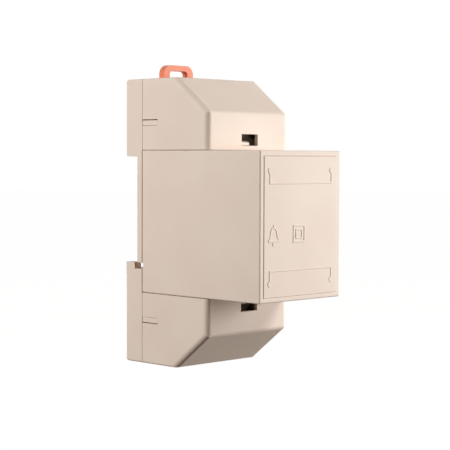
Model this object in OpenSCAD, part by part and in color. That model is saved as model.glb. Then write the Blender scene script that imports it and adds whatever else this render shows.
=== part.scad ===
// Bell transformer in a two-module housing that clips onto a 35 mm rail.
// The origin is on the rail seat, in the middle of the rail. +Z is up, +Y points to the rail.

/* [Housing] */
// Width of the housing
body_w = 36; // [35:0.1:38]
// Height of the housing over both terminal covers
body_h = 90.7; // [88:0.1:96]
// Height of the nose that holds the transformer
nose_h = 45.3; // [44:0.1:48]
// Height of the nose's middle above the rail's middle
nose_z = -2.3; // [-3:0.1:-1.2]
// Reach of the nose in front of the rail seat
nose_reach = 54.3; // [53:0.1:58]
// Reach of the terminal covers in front of the rail seat
cover_reach = 32; // [31:0.1:34]
// Reach of the housing behind the rail seat
back_reach = 5.25; // [4.8:0.05:6]
// Distance of the seam in front of the rail seat
seam_reach = 2.3; // [2.2:0.1:3]
// Wall of the nose and of the rear housing
wall = 1.5; // [1.2:0.1:1.8]
// Front wall of the nose
front_wall = 1.8; // [1.5:0.1:2.2]
// Wall of the terminal covers
cover_wall = 1.2; // [1:0.1:1.4]
// Depth of the slanted shoulder of a cover
slant_deep = 14; // [12:0.1:16]
// Height of the upright front of a cover
cover_front = 11.8; // [10.8:0.1:13]

/* [Edges] */
// Radius of the long front edges of the covers
cover_edge = 1.7; // [0.6:0.1:2]
// Radius of the upright front edges of the nose
nose_edge = 0.4; // [0.3:0.1:1.4]
// Radius of the upper and lower edges of the nose
nose_rim_edge = 0.4; // [0.2:0.1:1]
// Radius of the corners of the rear housing, seen from the side
back_edge = 1.1; // [0.5:0.1:1.5]
// Radius of the housing's four corners, seen from the front
corner_edge = 0.7; // [0.3:0.1:1.2]
// Radius along the slanted shoulder's upper and lower edge
shoulder_edge = 1.5; // [0.6:0.1:2]

/* [Rail] */
// Height of the rail
rail_h = 35; // [35:0.1:35.4]
// Gap over the rail's upper edge
rail_play = 0.9; // [0.6:0.1:1.2]
// Width of each fixed hook
hook_w = 2.7; // [2.2:0.1:4]
// Slot behind the rail seat that takes the rail's lower lip
hook_slot = 1.25; // [1.15:0.05:1.5]
// Height by which a hook covers the rail's lip
hook_h = 2.05; // [1.5:0.05:2.5]

/* [Clip] */
// Width of the clip
clip_w = 13; // [11.4:0.1:13.4]
// Thickness of the clip's plate
clip_t = 2.3; // [2.3:0.1:2.8]
// Distance of the clip's front face in front of the rail seat
clip_front = 0; // [0:0.1:0.4]
// Height of the pull loop above the housing
loop_h = 5.1; // [4.5:0.1:7]
// Width of the legs and the top bar of the loop
loop_bar = 1.8; // [1.5:0.1:2.4]
// Width of the pull loop's two legs
loop_leg = 2.6; // [2:0.1:3]
// Outer corner radius of the loop
loop_edge = 3; // [2.5:0.1:4]
// Travel of the clip
clip_travel = 3.5; // [3:0.1:4]
// Height by which the clip's pawl covers the rail's upper lip
pawl_grip = 1.5; // [1.2:0.1:1.8]
// Width of the clip's pawl
pawl_w = 9.8; // [8:0.1:10]
// Outer diameter of the clip's spring
spring_d = 3; // [2.4:0.1:3.2]
// Wire diameter of the clip's spring
spring_wire = 0.4; // [0.3:0.05:0.5]
// Length of the clip's spring as fitted
spring_h = 11.6; // [10:0.1:12.5]
// Turns of the clip's spring
spring_turns = 9; // [6:1:11]

/* [Cover details] */
// Width of the release window
window_w = 7.2; // [6:0.1:8]
// Height of the release window
window_h = 3.6; // [3:0.1:4]
// Height of the release window above the nose
window_z = 1.5; // [1.2:0.1:2]
// Sideways place of the release window
window_x = 0.5; // [0:0.1:1]
// Length of the side tongues
tongue_l = 7.5; // [6:0.1:9]
// Height of the side tongues
tongue_h = 1.6; // [1.4:0.05:2.4]
// Height of the tongues' middle above the nose
tongue_z = 8.7; // [8:0.1:10]
// Width of a wire slot in a cover
slot_w = 7; // [5:0.1:8]
// Depth of a wire slot in a cover, front to back
slot_d = 5; // [4.6:0.1:6]

/* [Terminals] */
// Height of a terminal's screw above the nose
term_z = 6.9; // [6.8:0.1:7.4]
// Width of a clamp cage
cage_w = 7.5; // [7:0.1:7.6]
// Height of a clamp cage
cage_h = 6.6; // [6:0.1:6.8]
// Side and rear wall of a clamp cage
cage_wall = 1; // [0.8:0.1:1.2]
// Threaded wall of a clamp cage
cage_nut = 1.8; // [1.4:0.1:2]
// Space for the wire in an open cage
wire_space = 3.6; // [3.4:0.1:4]
// Travel of a clamp cage
cage_travel = 3; // [2.4:0.1:3]
// Diameter of a terminal screw
screw_d = 3.5; // [3:0.1:3.6]
// Head diameter of a terminal screw
head_d = 5.8; // [5.2:0.1:6]
// Thickness of a contact strip
strip_t = 0.8; // [0.6:0.1:1]
// Width of a contact strip inside the cage
strip_w = 4.4; // [4:0.1:4.8]
// Width of a contact strip's soldering tail
tail_w = 2.6; // [2:0.1:2.8]
// Distance of the contact strips in front of the rail seat
strip_reach = 16.2; // [15.8:0.1:16.6]
// Height of a terminal block
block_h = 11.2; // [11:0.1:12]
// Reach of a terminal block in front of the rail seat
block_reach = 25.4; // [25:0.1:26]

/* [Case screws] */
// Diameter of a case screw
case_screw_d = 2.9; // [2.5:0.1:3]
// Head diameter of a case screw
case_head_d = 5.2; // [4.8:0.1:5.4]

/* [Transformer] */
// Thickness of the lamination stack
stack_w = 16; // [14:0.5:18]
// Thickness of the core's steel frame
frame_t = 0.5; // [0.4:0.1:0.8]
// Ribs that hold the core off the front wall
front_rib = 0.8; // [0.6:0.1:1.2]
// Ribs that hold the core off the rear housing's floor
rear_rib = 1.3; // [1:0.1:1.6]
// Ribs that hold the core off the nose's upper and lower walls
height_rib = 1; // [0.6:0.1:1.4]
// Thickness of the bobbin's tube
bobbin_wall = 0.9; // [0.7:0.1:1.1]
// Thickness of the bobbin's flanges
flange_t = 1; // [0.8:0.1:1.2]
// Thickness of the tape around each winding
tape_t = 0.3; // [0.2:0.05:0.5]
// Diameter of the bobbin's pins
pin_d = 0.8; // [0.6:0.1:1]
// Diameter of the insulated leads
lead_d = 1.3; // [1:0.1:1.5]
// Diameter of the thermal fuse
fuse_d = 3.6; // [3:0.1:4]
// Length of the thermal fuse
fuse_l = 9; // [8:0.5:10]

/* [Front marks] */
// Width of the rim at each side of the front panel
rim_side = 1.6; // [1.2:0.1:2.4]
// Height of the rim over the front panel
rim_top = 1.7; // [1.2:0.1:2.4]
// Height of the rim under the front panel
rim_low = 1.5; // [0.8:0.1:2]
// Height of the front panel above its rim
panel_rise = 0.15; // [0.1:0.05:0.5]
// Height of the raised marks
mark_t = 0.1; // [0.1:0.05:0.3]
// Line width of the raised marks
mark_line = 0.45; // [0.25:0.05:0.5]

/* [Hidden] */
$fn = 48;

shell_color = [0.90, 0.83, 0.76];
clip_color = [0.96, 0.36, 0.20];
block_color = [0.93, 0.92, 0.88];
brass_color = [0.80, 0.66, 0.36];
zinc_color = [0.75, 0.76, 0.78];
iron_color = [0.42, 0.43, 0.45];
copper_color = [0.72, 0.42, 0.24];

// Gaps: between pieces that touch, that slide in each other, and at the seams
touch = 0.05;
slip = 0.15;
seam = 0.15;
over = 0.1;

// Housing
half_w = body_w / 2;
nose_top = nose_z + nose_h / 2;
nose_low = nose_z - nose_h / 2;
body_top = nose_z + body_h / 2;
body_low = nose_z - body_h / 2;
cover_h = (body_h - nose_h) / 2;
slant_high = cover_h - cover_front;
slant_angle = atan2(slant_high, slant_deep);
tray_deep = 1;
rear_upright_edge = 0.2;
hook_edge = 0.25;
tongue_sink = 0.2;
floor_t = seam_reach - tray_deep;
in_half = half_w - wall;

// Rail
flange_z = rail_h / 2 + rail_play;
slot_z = -rail_h / 2 - touch;

// Clip and its channel in the rear housing
clip_back = clip_t - clip_front;
clip_top = body_top + loop_h;
channel_half = clip_w / 2 + slip;
channel_front = clip_front + 0.2;
channel_back = clip_back + 0.2;
channel_wall = 2.4;
rear_slot_half = pawl_w / 2 + 0.2;
pawl_low = rail_h / 2 - pawl_grip;
pawl_back = back_reach - 0.3;
pawl_top = flange_z + 3.6;
boss_z = pawl_top + 1.5 + spring_h + 2 * touch;
boss_h = 2.3;
boss_half = 1.8;
spring_low = pawl_top + 1.5 + touch;
spring_y = (clip_back - clip_front) / 2 - 0.2;

// Terminal blocks, with their own heights above the nose's wall, one terminal to a module
term_x = body_w / 4;
block_half = half_w - cover_wall - 0.9;
block_back = seam_reach + 0.1;
pocket_half = cage_w / 2 + slip;
pocket_low = term_z - cage_h / 2 - 0.2;
pocket_top = term_z + cage_h / 2 + 0.2;
cage_front = strip_reach + 1.4 + cage_nut;
cage_back = strip_reach - strip_t - wire_space - cage_wall - 0.2;
pocket_front = cage_front + cage_travel + 0.3;
head_t = 1.7;
head_back = pocket_front + 0.6;
tail_x = term_x + (strip_w - tail_w) / 2 + 0.7;
tail_low = -wall - 2.1;
rail_stem = 1.8;
rail_head = 3.6;
rail_step = 1.6;
rail_top = 3.2;
ear_r = 2.9;
ear_x = block_half - ear_r - 0.1;
ear_deep = 7;
case_screw_z = (pocket_top + cover_h - cover_wall) / 2 - 0.3;
wire_y = -(strip_reach - strip_t - wire_space / 2);
hook_back = cover_reach - cover_wall - 0.2;
case_tube_r = case_head_d / 2 + 1.3;

// Transformer
core_deep = nose_reach - front_wall - front_rib - rear_rib - 2 * frame_t - floor_t - 2 * touch;
core_high = nose_h - 2 * wall - 2 * height_rib - 2 * frame_t - 2 * touch;
core_y = -(nose_reach - front_wall - front_rib - frame_t - touch - core_deep / 2);
leg = core_deep / 6;
window_high = core_high - 2 * leg;
coil_half_x = half_w - wall - 0.6;
coil_half_y = 2 * leg - 0.2;
coil_half_z = window_high / 2 - 0.2;
tube_half_x = stack_w / 2 + slip + bobbin_wall;
tube_half_y = leg + slip + bobbin_wall;
split_z = 1.6;
pin_x = (stack_w / 2 + 2.2 + coil_half_x) / 2;
pin_y = 6;
pin_base = 2.6;
pin_h = 5;

// 2D and 3D helpers

// Rectangle with round corners, from its low corner
module round_rect(x, y, r) {
    translate([r, 0]) square([x - 2 * r, y]);
    translate([0, r]) square([x, y - 2 * r]);
    for (px = [r, x - r], py = [r, y - r])
        translate([px, py]) circle(r);
}

// Box from its low corner, with one radius for its upright edges and one for the others
module soft_box(size, upright, level) {
    intersection() {
        linear_extrude(size[2]) round_rect(size[0], size[1], upright);
        translate([0, size[1], 0]) rotate([90, 0, 0])
            linear_extrude(size[1]) round_rect(size[0], size[2], level);
        rotate([90, 0, 90]) linear_extrude(size[0]) round_rect(size[1], size[2], level);
    }
}

// Box between two corners
module span(low, high) {
    translate(low) cube(high - low);
}

// Extrusion of a side outline, given in depth and height, over a width
module side_extrude(half) {
    translate([-half, 0, 0]) rotate([90, 0, 90]) linear_extrude(2 * half) children();
}

// Extrusion of a front outline, given in width and height, from one depth to another
module front_extrude(y0, y1) {
    translate([0, y1, 0]) rotate([90, 0, 0]) linear_extrude(y1 - y0) children();
}

// Cylinder along the depth, from one depth to another
module bar_y(r, y0, y1) {
    translate([0, y1, 0]) rotate([90, 0, 0]) cylinder(r = r, h = y1 - y0);
}

// Pieces above the nose, and their mirror image below it
module above() {
    translate([0, 0, nose_top]) children();
}

module below() {
    translate([0, 0, nose_low]) mirror([0, 0, 1]) children();
}

module both_sides() {
    for (s = [-1, 1]) translate([s * term_x, 0, 0]) children();
}

// Places of the four case screws
module at_case_screws() {
    for (s = [-1, 1]) {
        above() translate([s * ear_x, 0, case_screw_z]) children();
        below() translate([s * ear_x, 0, case_screw_z]) children();
    }
}

// Points of a smooth curve through hand-set points
function curve_at(p, i, t) =
    let (a = p[max(i - 1, 0)], b = p[i], c = p[i + 1], d = p[min(i + 2, len(p) - 1)])
    0.5 * (2 * b + (c - a) * t + (2 * a - 5 * b + 4 * c - d) * t * t
        + (3 * b - a - 3 * c + d) * t * t * t);
function curve(p, n) = concat(
    [for (i = [0:len(p) - 2]) for (k = [0:n - 1]) curve_at(p, i, k / n)], [p[len(p) - 1]]);
function unit(v) = v / norm(v);
function heading(p, i) = unit(p[min(i + 1, len(p) - 1)] - p[max(i - 1, 0)]);

// Round tube along points that never run along the given sideways vector
module tube(p, d, sides, across) {
    n = len(p);
    rings = [for (i = [0:n - 1])
        let (h = heading(p, i), u = unit(cross(h, across)), v = cross(h, u))
        for (k = [0:sides - 1])
            p[i] + d / 2 * (cos(360 * k / sides) * u + sin(360 * k / sides) * v)];
    walls = [for (i = [0:n - 2]) for (k = [0:sides - 1])
        [i * sides + k, i * sides + (k + 1) % sides,
         (i + 1) * sides + (k + 1) % sides, (i + 1) * sides + k]];
    first = [for (k = [0:sides - 1]) sides - 1 - k];
    last = [for (k = [0:sides - 1]) (n - 1) * sides + k];
    polyhedron(points = rings, faces = concat(walls, [first, last]), convexity = 6);
}

// Rear housing

module rear_outline() {
    intersection() {
        union() {
            translate([-seam_reach - 5, flange_z])
                round_rect(back_reach + seam_reach + 5, body_top - flange_z, back_edge);
            translate([-seam_reach - 5, body_low])
                round_rect(back_reach + seam_reach + 5, slot_z - body_low, back_edge);
            translate([-seam_reach, slot_z - 3]) square([seam_reach, flange_z - slot_z + 6]);
        }
        translate([-seam_reach, body_low]) square([seam_reach + back_reach, body_h]);
    }
}

module rear_blank() {
    intersection() {
        side_extrude(half_w) rear_outline();
        front_extrude(-seam_reach, back_reach)
            translate([-half_w, body_low]) round_rect(body_w, body_h, corner_edge);
        translate([0, 0, body_low]) linear_extrude(body_h)
            translate([-half_w, -seam_reach - 5])
            round_rect(body_w, seam_reach + back_reach + 5, rear_upright_edge);
    }
}

// Hollow behind each cover, on both sides of the clip's channel or over the whole width
module rear_hollows() {
    open_y = -seam_reach - over;
    deep_y = back_reach - wall;
    side_x = channel_half + channel_wall;
    for (s = [0, 1]) mirror([s, 0, 0])
        span([side_x, open_y, flange_z + wall], [in_half, deep_y, body_top - wall]);
    span([-in_half, open_y, body_low + wall], [in_half, deep_y, slot_z - wall]);
    span([-in_half, open_y, slot_z - wall - over], [in_half, -floor_t, flange_z + over]);
    for (s = [0, 1]) mirror([s, 0, 0])
        span([side_x, open_y, flange_z], [in_half, -floor_t, flange_z + wall + over]);
}

module clip_channel() {
    span([-channel_half, -channel_front, flange_z - over],
         [channel_half, channel_back, body_top + over]);
    span([-rear_slot_half, 0, flange_z - over],
         [rear_slot_half, back_reach + over, body_top - 2.2]);
    span([-rear_slot_half, -channel_front, pawl_low - 0.2],
         [rear_slot_half, over, flange_z + over]);
    span([-boss_half - 0.1, -channel_front - 0.4, spring_low - touch],
         [boss_half + 0.1, channel_back, boss_z]);
}

module side_tongue() {
    length = tongue_l - tongue_h / 2;
    thick = cover_wall - tongue_sink;
    for (s = [0, 1]) mirror([s, 0, 0]) translate([half_w - cover_wall, 0, 0]) {
        span([0, -seam_reach - length, tongue_z - tongue_h / 2],
             [thick, -seam_reach + over, tongue_z + tongue_h / 2]);
        translate([0, -seam_reach - length, tongue_z]) rotate([0, 90, 0])
            cylinder(r = tongue_h / 2, h = thick);
    }
}

module rail_hook() {
    difference() {
        span([half_w - hook_w, -seam_reach + over, slot_z - 2],
             [half_w, back_reach, slot_z + hook_h]);
        span([half_w - hook_w - over, -seam_reach, slot_z],
             [half_w + over, hook_slot, slot_z + hook_h + over]);
        translate([half_w + over, back_reach, slot_z + hook_h]) rotate([0, -90, 0])
            linear_extrude(hook_w + 2 * over)
            polygon([[over, -hook_edge], [over, over], [-hook_edge, over]]);
    }
}

module rear_housing() color(shell_color) {
    hollow_back = back_reach - wall;
    difference() {
        union() {
            difference() {
                rear_blank();
                rear_hollows();
            }
            intersection() {
                rear_blank();
                at_case_screws() bar_y(case_tube_r, -seam_reach, hollow_back + over);
            }
            for (s = [0, 1]) mirror([s, 0, 0]) rail_hook();
            above() side_tongue();
            below() side_tongue();
            for (z = [-1, 1])
                span([-5, -floor_t - rear_rib, nose_z + z * core_high / 3 - 0.75],
                     [5, -floor_t + over, nose_z + z * core_high / 3 + 0.75]);
        }
        clip_channel();
        for (s = [0, 1]) mirror([s, 0, 0])
            span([half_w - hook_w, -seam_reach - over, slot_z],
                 [half_w + over, over, slot_z + hook_h]);
        at_case_screws() {
            bar_y(case_tube_r - 1, 0.5, back_reach + over);
            bar_y(case_screw_d / 2 + 0.2, -seam_reach - over, 1);
        }
        translate([-8, back_reach - 0.5, body_low + 7]) cube([16, 1, 14]);
    }
    span([-boss_half, -channel_front - 0.4, boss_z], [boss_half, clip_back - 0.1, boss_z + boss_h]);
}

// Nose housing

module mark_bracket(up) {
    base_z = 12.8;
    high = 4.9;
    reach = 13.8;
    tip_r = 0.9;
    mirror([0, up ? 0 : 1]) {
        translate([-reach, base_z]) square([2 * reach, mark_line]);
        for (x = [-reach, reach]) {
            translate([x - mark_line / 2, base_z]) square([mark_line, high - 2 * tip_r + mark_line]);
            translate([x, base_z + high - tip_r]) difference() {
                circle(tip_r);
                circle(tip_r - mark_line);
                translate([0, -2 * tip_r]) square(4 * tip_r);
            }
        }
    }
}

module mark_square(side) {
    difference() {
        square(side, center = true);
        square(side - 2 * mark_line, center = true);
    }
}

module mark_bell() {
    outline = [[-2.45, -2.4], [2.45, -2.4], [2.45, -1.8], [1.75, -1], [1.45, 0.9], [0.95, 1.8],
        [0.4, 2.2], [-0.4, 2.2], [-0.95, 1.8], [-1.45, 0.9], [-1.75, -1], [-2.45, -1.8]];
    difference() {
        polygon(outline);
        scale(0.76) polygon(outline);
    }
    translate([0, -2.95]) circle(0.6);
    translate([-mark_line / 2, 2.1]) square([mark_line, 0.8]);
}

module front_marks() {
    marks_z = nose_z - 0.2;
    translate([0, 0, marks_z]) front_extrude(-nose_reach - mark_t, -nose_reach + over) {
        mark_bracket(true);
        mark_bracket(false);
        translate([-1, -2.2]) {
            mark_square(5.3);
            mark_square(3);
        }
        translate([-12.1, -2.1]) mark_bell();
    }
}

// Rail that carries a terminal block, with the hook behind the cover's release window
module block_rail() {
    y0 = -block_reach;
    span([-rail_stem, y0, -over], [rail_stem, -block_back, rail_step]);
    span([-rail_head, y0, rail_step], [rail_head, -block_back, rail_top]);
    span([-rail_head, y0 - 1.2, -over], [rail_head, y0 - touch, rail_top]);
    hook_half = 1.8;
    hook_x = window_x - window_w / 2 + hook_half + 0.2;
    catch_z = window_z + seam;
    translate([hook_x, 0, 0]) side_extrude(hook_half)
        polygon([[-hook_back + 1.4, -over], [-hook_back + 1.4, catch_z + 1.2],
            [-hook_back, catch_z + 1.2], [-hook_back - 1, catch_z + 0.8],
            [-hook_back - 1, catch_z], [-hook_back, catch_z], [-hook_back, -over]]);
}

// Ribs inside the nose that hold the core
module core_ribs() {
    front_in = -nose_reach + front_wall;
    rib = 1.5;
    for (z = [-1, 1]) translate([0, 0, nose_z + z * core_high / 3 - rib / 2])
        span([-5, front_in - over, 0], [5, front_in + front_rib, rib]);
    for (y = [-1, 1]) translate([0, core_y + y * 2.6 * leg - rib / 2, 0]) {
        span([-5, 0, nose_top - wall - height_rib], [5, rib, nose_top - wall + over]);
        span([-5, 0, nose_low + wall - over], [5, rib, nose_low + wall + height_rib]);
    }
    for (s = [0, 1], z = [-1, 1]) mirror([s, 0, 0]) translate([0, 0, nose_z + z * core_high / 4])
        span([stack_w / 2 + touch, front_in - over, -0.6], [in_half + over, front_in + 6, 0.6]);
}

module nose_housing() color(shell_color) {
    front_in = -nose_reach + front_wall;
    lip = 0.7;
    difference() {
        union() {
            translate([-half_w, -nose_reach + panel_rise, nose_low])
                soft_box([body_w, nose_reach + 5, nose_h], nose_edge, nose_rim_edge);
            translate([-half_w + rim_side, -nose_reach, nose_low + rim_low])
                soft_box([body_w - 2 * rim_side, 2, nose_h - rim_low - rim_top], 0.2, 0.2);
        }
        span([-in_half, front_in, nose_low + wall], [in_half, 10, nose_top - wall]);
        span([-half_w - over, -seam_reach - seam, nose_low - over], [half_w + over, 10, nose_top + over]);
        for (s = [-1, 1]) {
            above() tail_hole(s);
            below() tail_hole(s);
        }
        for (s = [0, 1]) mirror([s, 0, 0]) hook_notch();
    }
    // Lips that enter the rear housing's tray at both sides
    for (s = [0, 1]) mirror([s, 0, 0]) {
        span([in_half - 0.9, -seam_reach - 3, slot_z + hook_h + 1],
             [in_half + over, -seam_reach - seam, flange_z]);
        span([in_half - 0.9, -seam_reach - 3, slot_z + hook_h + 1],
             [in_half - slip, -seam_reach + lip, flange_z]);
    }
    // Blocks that close the housing in front of the rail hooks' openings
    for (s = [0, 1]) mirror([s, 0, 0]) difference() {
        span([half_w - hook_w - 0.8, -seam_reach - 2, slot_z - 0.8],
             [in_half + over, -seam_reach - seam, slot_z + hook_h + 0.8]);
        hook_notch();
    }
    core_ribs();
    front_marks();
    above() block_rail();
    below() block_rail();
}

// Notch in the nose's rear end in front of a rail hook
module hook_notch() {
    gap = 0.2;
    span([half_w - hook_w, -seam_reach - seam - 0.35, slot_z + gap],
         [half_w + over, 0, slot_z + hook_h - gap]);
}

// Hole in the nose's wall for the tail of a contact
module tail_hole(s) {
    mirror([s < 0 ? 1 : 0, 0, 0])
        span([tail_x - tail_w / 2 - slip, -strip_reach - slip, -wall - over],
             [tail_x + tail_w / 2 + slip, -strip_reach + strip_t + slip, over]);
}

// Terminal covers

// Outline of a cover from the side, moved inwards, with round edges along the slant
module cover_outline(inset, r) {
    rear = -seam_reach - seam;
    front = -cover_reach + inset;
    low = inset > 0 ? -over : seam;
    top = cover_h - inset;
    low_z = cover_h - slant_high - inset * tan(45 - slant_angle / 2);
    high_y = -cover_reach + slant_deep + inset * tan(slant_angle / 2);
    slant = [cos(slant_angle), sin(slant_angle)];
    high_cut = r * tan(slant_angle / 2);
    low_cut = r * tan(45 - slant_angle / 2);
    polygon([[rear, low], [rear, top], [high_y + high_cut, top],
        [high_y, top] - high_cut * slant, [front, low_z] + low_cut * slant,
        [front, low_z - low_cut], [front, low]]);
    translate([high_y + high_cut, top - r]) circle(r);
    translate([front + r, low_z - low_cut]) circle(r);
}

// Solid of a cover, moved inwards
module cover_solid(inset) {
    r = max(cover_edge - inset, 0.3);
    w = body_w - 2 * inset;
    front = -cover_reach + inset;
    low_z = cover_h - slant_high - inset * tan(45 - slant_angle / 2);
    intersection() {
        side_extrude(w / 2) cover_outline(inset, max(shoulder_edge - inset, 0.3));
        translate([-w / 2, front, 0]) linear_extrude(cover_h) round_rect(w, cover_reach + 5, r);
        translate([0, front, low_z]) rotate([slant_angle, 0, 0])
            front_extrude(-60, 60) translate([-w / 2, -60]) round_rect(w, 60, r);
        front_extrude(front, 0) translate([-w / 2, -5])
            round_rect(w, cover_h - inset + 5, max(corner_edge - inset, 0.3));
    }
}

module cover() color(shell_color) {
    difference() {
        cover_solid(0);
        translate([0, over, 0]) cover_solid(cover_wall);
        span([window_x - window_w / 2, -cover_reach - over, window_z],
             [window_x + window_w / 2, -cover_reach + cover_wall + over, window_z + window_h]);
        tongue_slots();
        both_sides() translate([-slot_w / 2, wire_y - slot_d / 2, cover_h - cover_wall - over])
            linear_extrude(cover_wall + 2 * over) round_rect(slot_w, slot_d, slot_d / 2 - 0.1);
    }
}

// Slots for the rear housing's tongues, with the wider gap on the outer side
module tongue_slots() {
    outer_gap = 0.3;
    inner_gap = 0.1;
    length = tongue_l - tongue_h / 2;
    high = tongue_h + outer_gap + inner_gap;
    middle = tongue_z + (outer_gap - inner_gap) / 2;
    for (s = [0, 1]) mirror([s, 0, 0]) {
        span([half_w - cover_wall - over, -seam_reach - length, middle - high / 2],
             [half_w + over, 0, middle + high / 2]);
        translate([half_w - cover_wall - over, -seam_reach - length, middle])
            rotate([0, 90, 0]) cylinder(r = high / 2, h = cover_wall + 2 * over);
    }
}

module upper_terminal_cover() above() cover();

module lower_terminal_cover() below() cover();

// Clip and its spring

module rail_clip() color(clip_color) {
    window_half = boss_half + 0.2;
    window_top = boss_z + boss_h + 0.1;
    difference() {
        union() {
            front_extrude(-clip_front, clip_back)
                translate([-clip_w / 2, pawl_top - 2.6])
                round_rect(clip_w, clip_top - pawl_top + 2.6, loop_edge);
            front_extrude(-clip_front, clip_back)
                translate([-clip_w / 2, pawl_top - 2.6]) square([clip_w, 10]);
            side_extrude(pawl_w / 2)
                polygon([[-clip_front, flange_z + 0.3], [hook_slot, flange_z + 0.3],
                    [hook_slot, pawl_low], [hook_slot + 0.9, pawl_low],
                    [pawl_back, pawl_low + 2.4], [pawl_back, pawl_top], [-clip_front, pawl_top]]);
        }
        front_extrude(-clip_front - over, clip_back + over)
            translate([-clip_w / 2 + loop_leg, body_top - 1])
            round_rect(clip_w - 2 * loop_leg, loop_h + 1 - loop_bar, loop_edge - loop_bar);
        span([-window_half, -clip_front - over, spring_low - touch],
             [window_half, clip_back + over, window_top]);
        span([-clip_w / 2 + 3, -clip_front - over, window_top + 1.2],
             [clip_w / 2 - 3, -clip_front + 0.4, body_top - 2]);
    }
}

module clip_spring() color(zinc_color) {
    r = (spring_d - spring_wire) / 2;
    rise = spring_h - spring_wire;
    steps = 14;
    p = [for (i = [0:spring_turns * steps])
        [r * cos(360 * i / steps), r * sin(360 * i / steps),
         rise * i / (spring_turns * steps) + spring_wire / 2]];
    translate([0, spring_y, spring_low]) tube(p, spring_wire, 8, [0, 0, 1]);
}

// Fasteners

module cross_slot(size, deep) {
    for (a = [0, 90]) rotate([0, a, 0])
        span([-size / 2, -over, -size / 9], [size / 2, deep, size / 9]);
}

module case_screws() color(zinc_color)
    at_case_screws() difference() {
        union() {
            bar_y(case_screw_d / 2, -block_back - ear_deep + 0.5, 0.8);
            bar_y(case_head_d / 2, 0.5 + touch, 2.3);
        }
        translate([0, 2.3, 0]) mirror([0, 1, 0]) cross_slot(2.8, 1.1);
    }

module terminal_screw() color(zinc_color)
    translate([0, 0, term_z]) difference() {
        union() {
            bar_y(screw_d / 2, -head_back - over, -strip_reach - touch);
            bar_y(head_d / 2, -head_back - head_t, -head_back - touch);
        }
        translate([0, -head_back - head_t, 0]) cross_slot(4, 0.9);
    }

module upper_left_screw() above() translate([-term_x, 0, 0]) terminal_screw();
module upper_right_screw() above() translate([term_x, 0, 0]) terminal_screw();
module lower_left_screw() below() translate([-term_x, 0, 0]) terminal_screw();
module lower_right_screw() below() translate([term_x, 0, 0]) terminal_screw();

// Terminals

module cage() color(zinc_color)
    translate([0, 0, term_z]) difference() {
        span([-cage_w / 2, -cage_front, -cage_h / 2], [cage_w / 2, -cage_back, cage_h / 2]);
        span([-cage_w / 2 + cage_wall, -cage_front + cage_nut, -cage_h / 2 - over],
             [cage_w / 2 - cage_wall, -cage_back - cage_wall - 0.2, cage_h / 2 + over]);
        bar_y(screw_d / 2 + 0.06, -cage_front - over, -cage_front + cage_nut + over);
    }

module upper_left_cage() above() translate([-term_x, 0, 0]) cage();
module upper_right_cage() above() translate([term_x, 0, 0]) cage();
module lower_left_cage() below() translate([-term_x, 0, 0]) cage();
module lower_right_cage() below() translate([term_x, 0, 0]) cage();

// Contact strip on the right side of the upper terminals
module contact() color(brass_color) {
    y0 = -strip_reach;
    span([term_x - strip_w / 2, y0, pocket_low + touch],
         [term_x + strip_w / 2, y0 + strip_t, pocket_top - 0.2]);
    span([tail_x - tail_w / 2, y0, tail_low],
         [tail_x + tail_w / 2, y0 + strip_t, pocket_low + 3 * touch]);
}

module upper_left_contact() above() mirror([1, 0, 0]) contact();
module upper_right_contact() above() contact();
module lower_left_contact() below() mirror([1, 0, 0]) contact();
module lower_right_contact() below() contact();

module terminal_block() color(block_color) {
    front = -block_reach;
    back = -block_back;
    difference() {
        union() {
            span([-block_half, front, 0.1], [block_half, back, block_h]);
            span([-0.8, front + 1, block_h - over], [0.8, back - 6, block_h + 2.4]);
            for (s = [-1, 1]) translate([s * ear_x, 0, 0]) {
                span([-ear_r, back - ear_deep, block_h - over], [ear_r, back, case_screw_z]);
                translate([0, 0, case_screw_z]) bar_y(ear_r, back - ear_deep, back);
            }
        }
        // Slot for the nose's rail
        span([-rail_stem - slip, front - over, -over], [rail_stem + slip, back + over, rail_step]);
        span([-rail_head - slip, front - over, rail_step - slip],
             [rail_head + slip, back + over, rail_top + slip]);
        both_sides() {
            span([-pocket_half, -pocket_front, pocket_low], [pocket_half, back + over, pocket_top]);
            translate([0, 0, term_z]) {
                bar_y(head_d / 2 + 0.3, front - over, -head_back);
                bar_y(screw_d / 2 + 0.3, -head_back - over, -pocket_front + over);
            }
            span([-strip_w / 2 - 0.4, wire_y - wire_space / 2, pocket_top - over],
                 [strip_w / 2 + 0.4, wire_y + wire_space / 2, block_h + over]);
        }
        for (s = [0, 1]) mirror([s, 0, 0]) {
            span([tail_x - tail_w / 2 - slip, -strip_reach - slip, -over],
                 [tail_x + tail_w / 2 + slip, -strip_reach + strip_t + slip, pocket_low + over]);
            translate([ear_x, 0, case_screw_z])
                bar_y(case_screw_d / 2 + 0.05, back - ear_deep + 0.3, back + over);
        }
    }
}

module upper_terminal_block() above() terminal_block();

module lower_terminal_block() below() terminal_block();

// Transformer, with its own centre in the core's middle

module at_core() {
    translate([0, core_y, nose_z]) children();
}

module core_e_stack() color(iron_color) at_core() {
    low = -core_high / 2;
    difference() {
        span([-stack_w / 2, -3 * leg, low], [stack_w / 2, 3 * leg, core_high / 2 - leg - 0.02]);
        for (s = [0, 1]) mirror([0, s, 0])
            span([-stack_w / 2 - over, leg, low + leg], [stack_w / 2 + over, 2 * leg, core_high]);
    }
}

module core_i_stack() color(iron_color) at_core()
    span([-stack_w / 2, -3 * leg, core_high / 2 - leg], [stack_w / 2, 3 * leg, core_high / 2]);

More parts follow.
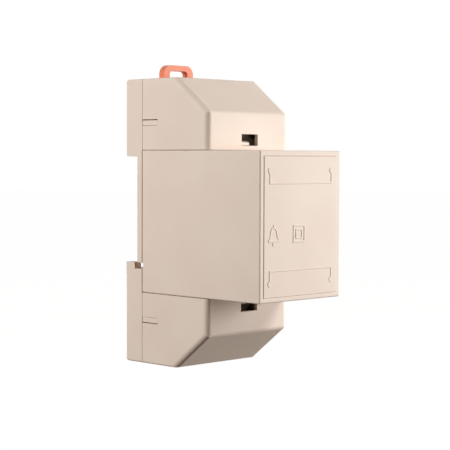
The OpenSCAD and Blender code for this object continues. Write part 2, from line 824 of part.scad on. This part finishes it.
// Steel band over the core, with its ends bent under the E stack
module core_frame() color(zinc_color) at_core() {
    hold = 0.02;
    half = stack_w / 2 - 1;
    out_y = 3 * leg + frame_t;
    out_z = core_high / 2 + frame_t;
    difference() {
        span([-half, -out_y, -out_z], [half, out_y, out_z]);
        span([-half - over, -3 * leg - hold, -core_high / 2 - hold],
             [half + over, 3 * leg + hold, core_high / 2 + hold]);
        span([-half - over, -2 * leg, -out_z - over], [half + over, 2 * leg, 0]);
    }
}

module coil_ring(x, y, z0, z1, hole_x, hole_y) {
    translate([0, 0, z0]) linear_extrude(z1 - z0) difference() {
        translate([-x, -y]) round_rect(2 * x, 2 * y, 1.5);
        translate([-hole_x, -hole_y]) square([2 * hole_x, 2 * hole_y]);
    }
}

module bobbin() color([0.20, 0.21, 0.22]) at_core() {
    hole_x = tube_half_x - bobbin_wall;
    hole_y = tube_half_y - bobbin_wall;
    difference() {
        union() {
            for (z = [-coil_half_z, split_z, coil_half_z - flange_t])
                coil_ring(coil_half_x, coil_half_y, z, z + flange_t, hole_x, hole_y);
            coil_ring(tube_half_x, tube_half_y, -coil_half_z, coil_half_z, hole_x, hole_y);
            for (s = [0, 1], t = [0, 1]) mirror([s, 0, 0]) mirror([0, 0, t])
                span([stack_w / 2 + 2.2, -8, coil_half_z - over],
                     [coil_half_x - 0.2, 8, coil_half_z + pin_base]);
        }
        for (t = [0, 1]) mirror([0, 0, t]) pin_pair(coil_half_z + 0.4, pin_d / 2 + 0.03);
    }
}

module pin_pair(z, r) {
    for (s = [-1, 1]) translate([s * pin_x, pin_y, z]) cylinder(r = r, h = pin_h);
}

module primary_pins() color(zinc_color) at_core()
    mirror([0, 0, 1]) pin_pair(coil_half_z + 0.45, pin_d / 2);

module secondary_pins() color(zinc_color) at_core() pin_pair(coil_half_z + 0.45, pin_d / 2);

module winding(z0, z1) {
    edge = 0.9;
    coil_ring(coil_half_x - edge, coil_half_y - edge, z0 + touch, z1 - touch,
        tube_half_x + touch, tube_half_y + touch);
}

module primary_winding() color(copper_color) at_core()
    winding(-coil_half_z + flange_t, split_z);

module secondary_winding() color(copper_color) at_core()
    winding(split_z + flange_t, coil_half_z - flange_t);

module tape(z0, z1) {
    inner = 0.9 - 0.02;
    outer = inner - tape_t;
    translate([0, 0, z0 + touch]) linear_extrude(z1 - z0 - 2 * touch) difference() {
        translate([-coil_half_x + outer, -coil_half_y + outer])
            round_rect(2 * (coil_half_x - outer), 2 * (coil_half_y - outer), 1.5 + tape_t);
        translate([-coil_half_x + inner, -coil_half_y + inner])
            round_rect(2 * (coil_half_x - inner), 2 * (coil_half_y - inner), 1.5);
    }
}

module primary_tape() color([0.93, 0.82, 0.35]) at_core()
    tape(-coil_half_z + flange_t, split_z);

module secondary_tape() color([0.93, 0.82, 0.35]) at_core()
    tape(split_z + flange_t, coil_half_z - flange_t);

// Thermal fuse between a bobbin pin and the primary's left terminal
fuse_z = -coil_half_z - pin_base - fuse_d / 2 - 0.1;
fuse_back = pin_y - 3;
fuse_front = fuse_back - fuse_l;

module thermal_fuse() color([0.86, 0.86, 0.84]) at_core() translate([-pin_x, 0, fuse_z]) {
    bar_y(fuse_d / 2, fuse_front, fuse_back);
    bar_y(0.35, fuse_front - 1.6, fuse_front + over);
    bar_y(0.35, fuse_back - over, pin_y - pin_d / 2 - touch);
}

// Leads from the contacts' tails to the bobbin's pins
lead_across = [1, 0, 0];
tail_z = nose_h / 2 + tail_low;
lead_start_y = -strip_reach - lead_d / 2 - touch - core_y;

module pin_lead() {
    pin_front = pin_y + pin_d / 2 + lead_d / 2 + touch;
    z0 = tail_z + 0.9;
    z1 = coil_half_z + pin_base + lead_d / 2;
    p = [for (i = [0:12]) let (t = i / 12, s = t * t * (3 - 2 * t))
        [tail_x + (pin_x - tail_x) * s, lead_start_y + (pin_front - lead_start_y) * s,
         z0 + (z1 - z0) * t]];
    tube(p, lead_d, 10, lead_across);
}

// Lead that runs past the thermal fuse and turns back into its front end
module fuse_lead() {
    low_z = -core_high / 2 - 0.7;
    end_y = fuse_front - 1.65;
    p = curve([[-tail_x, lead_start_y, -tail_z - 1], [-tail_x, lead_start_y - 0.6, -tail_z + 0.2],
        [-tail_x - 0.4, lead_start_y - 4, low_z], [-pin_x, fuse_front, low_z],
        [-pin_x, end_y - 2.2, low_z + 0.8], [-pin_x, end_y - 2.4, fuse_z - 0.5],
        [-pin_x, end_y, fuse_z]], 4);
    tube(p, lead_d, 10, lead_across);
}

module primary_left_lead() color([0.16, 0.16, 0.18]) at_core() fuse_lead();

module primary_right_lead() color([0.16, 0.16, 0.18]) at_core() mirror([0, 0, 1]) pin_lead();

module secondary_left_lead() color([0.85, 0.85, 0.82]) at_core() mirror([1, 0, 0]) pin_lead();

module secondary_right_lead() color([0.85, 0.85, 0.82]) at_core() pin_lead();

rear_housing();
nose_housing();
upper_terminal_cover();
lower_terminal_cover();
rail_clip();
clip_spring();
case_screws();
upper_terminal_block();
lower_terminal_block();
upper_left_cage();
upper_right_cage();
lower_left_cage();
lower_right_cage();
upper_left_screw();
upper_right_screw();
lower_left_screw();
lower_right_screw();
upper_left_contact();
upper_right_contact();
lower_left_contact();
lower_right_contact();
core_e_stack();
core_i_stack();
core_frame();
bobbin();
primary_winding();
secondary_winding();
primary_tape();
secondary_tape();
primary_pins();
secondary_pins();
thermal_fuse();
primary_left_lead();
primary_right_lead();
secondary_left_lead();
secondary_right_lead();
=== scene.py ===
"""Bell transformer in a beige two-module housing with an orange rail clip."""

import math

import bpy
from mathutils import Matrix, Vector


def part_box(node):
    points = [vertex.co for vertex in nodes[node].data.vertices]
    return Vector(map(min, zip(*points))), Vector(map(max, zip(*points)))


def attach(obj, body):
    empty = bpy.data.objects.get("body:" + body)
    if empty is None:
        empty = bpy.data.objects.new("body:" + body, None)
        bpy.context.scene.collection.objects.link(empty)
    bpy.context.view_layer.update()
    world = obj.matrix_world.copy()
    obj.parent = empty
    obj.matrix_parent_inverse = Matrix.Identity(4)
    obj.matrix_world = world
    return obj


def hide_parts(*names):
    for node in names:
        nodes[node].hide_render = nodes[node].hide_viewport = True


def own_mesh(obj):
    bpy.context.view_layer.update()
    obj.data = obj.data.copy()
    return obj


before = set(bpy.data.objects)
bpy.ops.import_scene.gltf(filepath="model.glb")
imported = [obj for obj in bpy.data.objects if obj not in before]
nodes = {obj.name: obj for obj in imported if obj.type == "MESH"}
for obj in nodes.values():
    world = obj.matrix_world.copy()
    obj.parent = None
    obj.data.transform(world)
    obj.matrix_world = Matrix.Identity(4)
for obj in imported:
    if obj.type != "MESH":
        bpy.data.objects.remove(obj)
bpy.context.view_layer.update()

MM = 0.001

# Camera, fitted to the photograph in the row frame
CAMERA_AT = Vector((-320.71, -342.258, 18.23)) * MM
CAMERA_LOOK = Vector((0.70648, 0.70614, -0.04743))
CAMERA_ROLL = 0.00348
FOCAL_PX = 1425.6
IMAGE_PX = 450


def make_camera():
    data = bpy.data.cameras.new("camera")
    data.sensor_width = 36
    data.sensor_fit = "HORIZONTAL"
    data.lens = FOCAL_PX / IMAGE_PX * data.sensor_width
    data.clip_start = 0.01
    data.clip_end = 20
    camera = bpy.data.objects.new("camera", data)
    turn = CAMERA_LOOK.to_track_quat("-Z", "Y").to_matrix().to_4x4()
    camera.matrix_world = Matrix.Translation(CAMERA_AT) @ turn @ Matrix.Rotation(CAMERA_ROLL, 4, "Z")
    bpy.context.collection.objects.link(camera)
    bpy.context.scene.camera = camera


# Node helpers

def srgb(r, g, b):
    """Linear colour, with alpha, of a colour as a picture shows it, from 0 to 255."""
    channels = [(c / 255 / 12.92) if c <= 10 else ((c / 255 + 0.055) / 1.055) ** 2.4 for c in (r, g, b)]
    return (*channels, 1)


class Tree:
    """Short calls for building a material's nodes."""

    def __init__(self, name):
        self.material = bpy.data.materials.new(name)
        self.material.use_nodes = True
        self.nodes = self.material.node_tree.nodes
        self.links = self.material.node_tree.links
        self.nodes.clear()
        self.output = self.add("ShaderNodeOutputMaterial")

    def add(self, kind, **values):
        made = self.nodes.new(kind)
        for key, value in values.items():
            setattr(made, key, value)
        return made

    def link(self, out, into):
        self.links.new(out, into)

    def coords(self, scale=(1, 1, 1)):
        """Object coordinates in metres, which are the row frame's on a CAD node."""
        where = self.add("ShaderNodeTexCoord")
        mapping = self.add("ShaderNodeMapping")
        mapping.inputs["Scale"].default_value = scale
        self.link(where.outputs["Object"], mapping.inputs["Vector"])
        return mapping.outputs["Vector"]

    def noise(self, vector, per_metre, detail=2, roughness=0.5):
        made = self.add("ShaderNodeTexNoise")
        made.inputs["Scale"].default_value = per_metre
        made.inputs["Detail"].default_value = detail
        made.inputs["Roughness"].default_value = roughness
        self.link(vector, made.inputs["Vector"])
        return made.outputs["Fac"]

    def ramp(self, value, stops):
        made = self.add("ShaderNodeValToRGB")
        marks = made.color_ramp.elements
        while len(marks) < len(stops):
            marks.new(0.5)
        for mark, (place, colour) in zip(marks, stops):
            mark.position = place
            mark.color = colour
        self.link(value, made.inputs["Fac"])
        return made.outputs["Color"]

    def span(self, value, low, high):
        made = self.add("ShaderNodeMapRange")
        made.inputs["To Min"].default_value = low
        made.inputs["To Max"].default_value = high
        self.link(value, made.inputs["Value"])
        return made.outputs["Result"]

    def slab(self, vector, box):
        """1 within a box of object coordinates in mm, as {axis: (middle, half)}."""
        parts = self.add("ShaderNodeSeparateXYZ")
        self.link(vector, parts.inputs["Vector"])
        inside = None
        for axis, (middle, half) in box.items():
            made = self.add("ShaderNodeMath", operation="COMPARE")
            made.inputs[1].default_value = middle * MM
            made.inputs[2].default_value = half * MM
            self.link(parts.outputs[axis], made.inputs[0])
            result = made.outputs["Value"]
            if inside:
                both = self.add("ShaderNodeMath", operation="MULTIPLY")
                self.link(inside, both.inputs[0])
                self.link(result, both.inputs[1])
                result = both.outputs["Value"]
            inside = result
        return inside

    def tinted(self, colour, where, tint):
        """The colour, multiplied by a tint where the value is 1."""
        mix = self.add("ShaderNodeMix", data_type="RGBA", blend_type="MULTIPLY")
        mix.inputs["B"].default_value = (*tint, 1)
        self.link(where, mix.inputs["Factor"])
        self.link(colour, mix.inputs["A"])
        return mix.outputs["Result"]

    def bump(self, height, strength, distance, edge=None):
        made = self.add("ShaderNodeBump")
        made.inputs["Strength"].default_value = strength
        made.inputs["Distance"].default_value = distance
        self.link(height, made.inputs["Height"])
        if edge:
            rounded = self.add("ShaderNodeBevel", samples=6)
            rounded.inputs["Radius"].default_value = edge
            self.link(rounded.outputs["Normal"], made.inputs["Normal"])
        return made.outputs["Normal"]

    def shade(self, colour, roughness, normal, **settings):
        """Principled shader; keyword settings use _ for the spaces in a socket's name."""
        made = self.add("ShaderNodeBsdfPrincipled")
        self.link(colour, made.inputs["Base Color"])
        self.link(roughness, made.inputs["Roughness"])
        self.link(normal, made.inputs["Normal"])
        for key, value in settings.items():
            made.inputs[key.replace("_", " ")].default_value = value
        self.link(made.outputs["BSDF"], self.output.inputs["Surface"])
        return self.material


def moulded_plastic(name, low, high, rough, grain=0.00001, edge=0.00012, lines=(), **settings):
    """Moulded plastic: faint clouds of colour, fine spark-eroded grain, softened edges and lines of painted
    shade.
    """
    tree = Tree(name)
    where = tree.coords()
    clouds = tree.noise(where, 60, 3)
    fine = tree.noise(where, 2600, 2)
    colour = tree.ramp(clouds, [(0.3, low), (0.7, high)])
    # each box multiplies the colour by its tint: painted shade
    for box, tint in lines:
        colour = tree.tinted(colour, tree.slab(where, box), tint)
    roughness = tree.span(fine, rough - 0.05, rough + 0.05)
    return tree.shade(colour, roughness, tree.bump(fine, 0.35, grain, edge), **settings)


def plated_metal(name, low, high, rough, stretch=(1, 1, 1), edge=0.00008, **settings):
    """Plated or drawn metal: cloudy brightness and fine lines along the stretched axis."""
    tree = Tree(name)
    where = tree.coords(stretch)
    clouds = tree.noise(where, 350, 4)
    lines = tree.noise(where, 3200, 2)
    colour = tree.ramp(clouds, [(0.25, low), (0.75, high)])
    roughness = tree.span(lines, rough - 0.08, rough + 0.12)
    return tree.shade(colour, roughness, tree.bump(lines, 0.25, 0.00001, edge), Metallic=1.0, **settings)


def banded(name, direction, per_metre, low, high, rough, metallic, deep):
    """Fine parallel bands, as of laminations, wound wire or layers of tape."""
    tree = Tree(name)
    where = tree.coords()
    bands = tree.add("ShaderNodeTexWave", wave_type="BANDS", bands_direction=direction)
    bands.inputs["Scale"].default_value = per_metre
    bands.inputs["Distortion"].default_value = 0.4
    bands.inputs["Detail"].default_value = 1
    tree.link(where, bands.inputs["Vector"])
    colour = tree.ramp(bands.outputs["Fac"], [(0.1, low), (0.7, high)])
    roughness = tree.span(tree.noise(where, 900), rough - 0.08, rough + 0.08)
    return tree.shade(colour, roughness, tree.bump(bands.outputs["Fac"], 0.5, deep), Metallic=metallic)


# Materials

# Fine lines of painted shade on the beige plastic, each as (middle, half width) in mm on the axes that bound
# it
# painted shade: a dark line along the seam between the rear and nose housings
SEAM_SHADE_BAND = {"Y": (-2.3, 0.2), "Z": (-2.3, 22.6)}
SEAM_SHADE_TINT = (0.5, 0.36, 0.27)
# painted shade: a darker line along the top edge of the raised front panel
PANEL_TOP_SHADE_BAND = {"Y": (-54.2, 0.3), "Z": (18.7, 0.13), "X": (0, 16.3)}
PANEL_TOP_SHADE_TINT = (0.72, 0.62, 0.54)


def make_materials():
    beige = moulded_plastic(
        "beige_plastic", srgb(234, 217, 202), srgb(238, 222, 207), 0.5,
        lines=[(SEAM_SHADE_BAND, SEAM_SHADE_TINT), (PANEL_TOP_SHADE_BAND, PANEL_TOP_SHADE_TINT)],
        Specular_IOR_Level=0.2)
    orange = moulded_plastic(
        "orange_plastic", srgb(226, 126, 90), srgb(231, 133, 97), 0.45, Specular_IOR_Level=0.25)
    ivory = moulded_plastic("ivory_block_plastic", srgb(226, 222, 210), srgb(232, 229, 218), 0.4)
    black = moulded_plastic("black_bobbin_plastic", srgb(34, 34, 36), srgb(42, 42, 44), 0.5)
    ceramic = moulded_plastic("fuse_case", srgb(222, 220, 210), srgb(232, 230, 222), 0.45)
    dark_wire = moulded_plastic("dark_insulation", srgb(30, 30, 34), srgb(40, 40, 44), 0.35)
    light_wire = moulded_plastic("light_insulation", srgb(222, 222, 216), srgb(232, 232, 226), 0.35)
    zinc = plated_metal("zinc_plate", srgb(186, 189, 194), srgb(214, 216, 220), 0.3)
    tin = plated_metal("tinned_wire", srgb(196, 198, 200), srgb(220, 222, 224), 0.26, (1, 1, 0.1))
    band = plated_metal("steel_band", srgb(176, 179, 184), srgb(204, 206, 210), 0.34, (1, 0.05, 0.05))
    brass = plated_metal("brass_strip", srgb(206, 170, 92), srgb(226, 194, 120), 0.28, (1, 1, 0.06))
    laminations = banded("laminations", "X", 320, srgb(70, 72, 78), srgb(128, 131, 138), 0.5, 0.8, 0.00004)
    copper = banded("enamelled_wire", "Z", 900, srgb(112, 50, 26), srgb(196, 108, 62), 0.3, 0.8, 0.00005)
    tape = banded("yellow_tape", "Z", 60, srgb(222, 186, 70), srgb(238, 206, 92), 0.24, 0.0, 0.00001)
    groups = {
        beige: ["rear_housing", "nose_housing", "upper_terminal_cover", "lower_terminal_cover"],
        orange: ["rail_clip"],
        ivory: ["upper_terminal_block", "lower_terminal_block"],
        black: ["bobbin"],
        ceramic: ["thermal_fuse"],
        dark_wire: ["primary_left_lead", "primary_right_lead"],
        light_wire: ["secondary_left_lead", "secondary_right_lead"],
        zinc: ["case_screws"] + [f"{h}_{s}_{k}" for h in ("upper", "lower") for s in ("left", "right")
                                 for k in ("cage", "screw")],
        tin: ["primary_pins", "secondary_pins"],
        band: ["core_frame"],
        brass: [f"{h}_{s}_contact" for h in ("upper", "lower") for s in ("left", "right")],
        laminations: ["core_e_stack", "core_i_stack"],
        copper: ["primary_winding", "secondary_winding"],
        tape: ["primary_tape", "secondary_tape"],
    }
    for material, names in groups.items():
        for name in names:
            for slot in nodes[name].material_slots:
                slot.material = material
    return {"spring": plated_metal("spring_wire", srgb(150, 152, 158), srgb(190, 192, 198), 0.25)}


# Spring of the clip, which on the real part shortens as the clip is pulled up; here it is a coil of one
# fixed length

def make_spring(material):
    low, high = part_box("clip_spring")
    wire = 0.2 * MM
    radius = (high.x - low.x) / 2 - wire
    centre = (low + high) / 2
    turns, steps, sides = 9, 28, 10
    rise = high.z - low.z - 2 * wire
    points, faces = [], []
    count = turns * steps + 1
    for i in range(count):
        angle = 2 * math.pi * i / steps
        out = Vector((math.cos(angle), math.sin(angle), 0))
        middle = Vector((centre.x, centre.y, low.z + wire + rise * i / (count - 1))) + radius * out
        for k in range(sides):
            turn = 2 * math.pi * k / sides
            points.append(middle + wire * (math.cos(turn) * out + math.sin(turn) * Vector((0, 0, 1))))
    for i in range(count - 1):
        for k in range(sides):
            a, b = i * sides + k, i * sides + (k + 1) % sides
            faces.append((a, b, b + sides, a + sides))
    faces.append(tuple(range(sides - 1, -1, -1)))
    faces.append(tuple(range((count - 1) * sides, count * sides)))
    mesh = bpy.data.meshes.new("clip_coil_spring")
    mesh.from_pydata(points, [], faces)
    mesh.polygons.foreach_set("use_smooth", [True] * len(mesh.polygons))
    mesh.materials.append(material)
    spring = bpy.data.objects.new("clip_coil_spring", mesh)
    bpy.context.collection.objects.link(spring)
    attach(spring, "housing")
    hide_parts("clip_spring")
    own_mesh(spring)


# Stage and light

FLOOR_HALF = 6
FLOOR_LEVEL = -0.16
FLOOR_COLOUR = (0.12, 0.085, 0.06, 1)
FLOOR_WHITE = 0.99
WARM_FILL = (1, 0.62, 0.36, 1)
BACKGROUND_WHITE = (1, 1, 1, 1)
OBJECT_MIDDLE = Vector((0, -0.025, 0))


def background_rays(net, links):
    """1 for rays that see the background: straight from the camera, in gloss or through glass."""
    seen = net.new("ShaderNodeLightPath")
    value = seen.outputs["Is Camera Ray"]
    for name in ("Is Glossy Ray", "Is Transmission Ray"):
        both = net.new("ShaderNodeMath")
        both.operation = "MAXIMUM"
        links.new(value, both.inputs[0])
        links.new(seen.outputs[name], both.inputs[1])
        value = both.outputs["Value"]
    return value


def make_floor():
    """Pale floor well below the rail-mounted object; it shows white where the lamps reach it."""
    mesh = bpy.data.meshes.new("floor")
    corners = [(-1, -1), (1, -1), (1, 1), (-1, 1)]
    mesh.from_pydata([(x * FLOOR_HALF, y * FLOOR_HALF, FLOOR_LEVEL) for x, y in corners], [], [(0, 1, 2, 3)])
    floor = bpy.data.objects.new("floor", mesh)
    bpy.context.collection.objects.link(floor)
    tree = Tree("pale_floor")
    matt = tree.add("ShaderNodeBsdfDiffuse")
    matt.inputs["Color"].default_value = FLOOR_COLOUR
    fill = tree.add("ShaderNodeEmission")
    dimmed = tree.add("ShaderNodeMath", operation="MULTIPLY")
    dimmed.inputs[1].default_value = FLOOR_WHITE
    both = tree.add("ShaderNodeAddShader")
    tree.link(background_rays(tree.nodes, tree.links), dimmed.inputs[0])
    tree.link(dimmed.outputs["Value"], fill.inputs["Strength"])
    tree.link(matt.outputs["BSDF"], both.inputs[0])
    tree.link(fill.outputs["Emission"], both.inputs[1])
    tree.link(both.outputs["Shader"], tree.output.inputs["Surface"])
    mesh.materials.append(tree.material)


def make_world(strength):
    """White where the background is seen, and a soft warm light on the object."""
    world = bpy.data.worlds.new("studio")
    bpy.context.scene.world = world
    world.use_nodes = True
    net, links = world.node_tree.nodes, world.node_tree.links
    net.clear()
    out = net.new("ShaderNodeOutputWorld")
    soft = net.new("ShaderNodeBackground")
    white = net.new("ShaderNodeBackground")
    mix = net.new("ShaderNodeMixShader")
    soft.inputs["Color"].default_value = WARM_FILL
    white.inputs["Color"].default_value = BACKGROUND_WHITE
    soft.inputs["Strength"].default_value = strength
    links.new(background_rays(net, links), mix.inputs["Fac"])
    links.new(soft.outputs["Background"], mix.inputs[1])
    links.new(white.outputs["Background"], mix.inputs[2])
    links.new(mix.outputs["Shader"], out.inputs["Surface"])


def area_light(name, place, size, power):
    """Round soft lamp at a place in metres that looks at the object, with its power in watts."""
    data = bpy.data.lights.new(name, "AREA")
    data.shape = "DISK"
    data.size = size
    data.energy = power
    lamp = bpy.data.objects.new(name, data)
    lamp.location = place
    lamp.rotation_euler = (OBJECT_MIDDLE - Vector(place)).to_track_quat("-Z", "Y").to_euler()
    bpy.context.collection.objects.link(lamp)


def make_light():
    make_world(0.04)
    area_light("upper_right_softbox", (0.405, -0.672, 0.477), 0.35, 3.7)
    area_light("right_softbox", (0.743, -0.526, 0.078), 0.35, 7.4)
    area_light("left_softbox", (-0.42, 0.095, 0.15), 0.22, 1.66)


bpy.context.scene.view_settings.view_transform = "Standard"
make_camera()
make_floor()
make_light()
extra = make_materials()
make_spring(extra["spring"])
